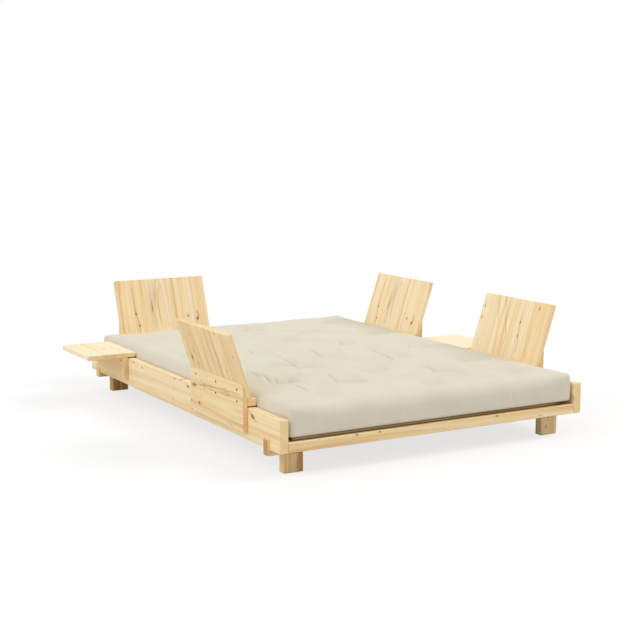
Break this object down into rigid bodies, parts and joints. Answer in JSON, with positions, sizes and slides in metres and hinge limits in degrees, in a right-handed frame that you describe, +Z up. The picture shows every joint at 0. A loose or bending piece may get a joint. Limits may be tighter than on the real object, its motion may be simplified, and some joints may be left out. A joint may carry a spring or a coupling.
{
  "type": "futon daybed",
  "caption": "Low pine daybed with a slatted base and a tufted futon; leaning backrests and side tables hook over its boards and slide along them.",
  "frame": {"origin": "on the floor, at the middle of the whole daybed's width and depth", "axes": "+Z up, +X to the right seen from the open foot end, +Y from the foot end towards the head board"},
  "size_m": [1.902, 2.133, 0.5395],
  "materials": {
    "clear_pine": "satin clear oiled pine",
    "hidden_pine": "planed untreated pine",
    "black_steel": "black powder coat",
    "zinc_steel": "zinc plated",
    "natural_cotton": "unbleached cotton twill"
  },
  "bodies": {
    "frame": {"side_rail_left": "clear_pine", "side_rail_right": "clear_pine", "foot_rail": "clear_pine", "head_board": "clear_pine", "cross_beam_front": "clear_pine", "cross_beam_rear": "clear_pine", "centre_beam": "hidden_pine", "leg_front_left": "clear_pine", "leg_front_right": "clear_pine", "leg_rear_left": "clear_pine", "leg_rear_right": "clear_pine", "centre_leg": "clear_pine", "slat_ledge_left": "hidden_pine", "slat_ledge_right": "hidden_pine", "corner_block_front_left": "hidden_pine", "corner_block_front_right": "hidden_pine", "corner_block_head_left": "hidden_pine", "corner_block_head_right": "hidden_pine", "slat_01": "hidden_pine", "slat_02": "hidden_pine", "slat_03": "hidden_pine", "slat_04": "hidden_pine", "slat_05": "hidden_pine", "slat_06": "hidden_pine", "slat_07": "hidden_pine", "slat_08": "hidden_pine", "slat_09": "hidden_pine", "slat_10": "hidden_pine", "slat_11": "hidden_pine", "slat_12": "hidden_pine", "leg_bolt_front_left": "zinc_steel", "leg_bolt_front_right": "zinc_steel", "leg_bolt_rear_left": "zinc_steel", "leg_bolt_rear_right": "zinc_steel", "leg_bolt_centre": "zinc_steel"},
    "backrest_left": {"backrest_left_panel": "clear_pine", "backrest_left_plate": "clear_pine", "backrest_left_foot": "clear_pine", "backrest_left_hook": "black_steel"},
    "backrest_right_near": {"backrest_right_near_panel": "clear_pine", "backrest_right_near_plate": "clear_pine", "backrest_right_near_foot": "clear_pine", "backrest_right_near_hook": "black_steel"},
    "backrest_right_far": {"backrest_right_far_panel": "clear_pine", "backrest_right_far_plate": "clear_pine", "backrest_right_far_foot": "clear_pine", "backrest_right_far_hook": "black_steel"},
    "backrest_head": {"backrest_head_panel": "clear_pine", "backrest_head_plate": "clear_pine", "backrest_head_foot": "clear_pine", "backrest_head_hook": "black_steel"},
    "table_left": {"table_left_top": "clear_pine", "table_left_plate": "clear_pine", "table_left_hook": "black_steel"},
    "table_right": {"table_right_top": "clear_pine", "table_right_plate": "clear_pine", "table_right_hook": "black_steel"},
    "futon": {"futon_mattress": "natural_cotton"}
  },
  "joints": [
    {"name": "backrest_left_slide", "type": "slide", "parent": "frame", "child": "backrest_left", "axis": [0, 1, 0], "range_m": [-0.142, 0.38]},
    {"name": "table_left_slide", "type": "slide", "parent": "frame", "child": "table_left", "axis": [0, 1, 0], "range_m": [-0.39, 0.02]},
    {"name": "backrest_right_near_slide", "type": "slide", "parent": "frame", "child": "backrest_right_near", "axis": [0, 1, 0], "range_m": [-0.156, 0.031]},
    {"name": "table_right_slide", "type": "slide", "parent": "frame", "child": "table_right", "axis": [0, 1, 0], "range_m": [-0.031, 0.024]},
    {"name": "backrest_right_far_slide", "type": "slide", "parent": "frame", "child": "backrest_right_far", "axis": [0, 1, 0], "range_m": [-0.024, 0.162]},
    {"name": "backrest_head_slide", "type": "slide", "parent": "frame", "child": "backrest_head", "axis": [1, 0, 0], "range_m": [-0.116, 0.792]},
    {"name": "futon_lift", "type": "slide", "parent": "frame", "child": "futon", "axis": [0, 0, 1], "range_m": [0, 0.3]}
  ]
}
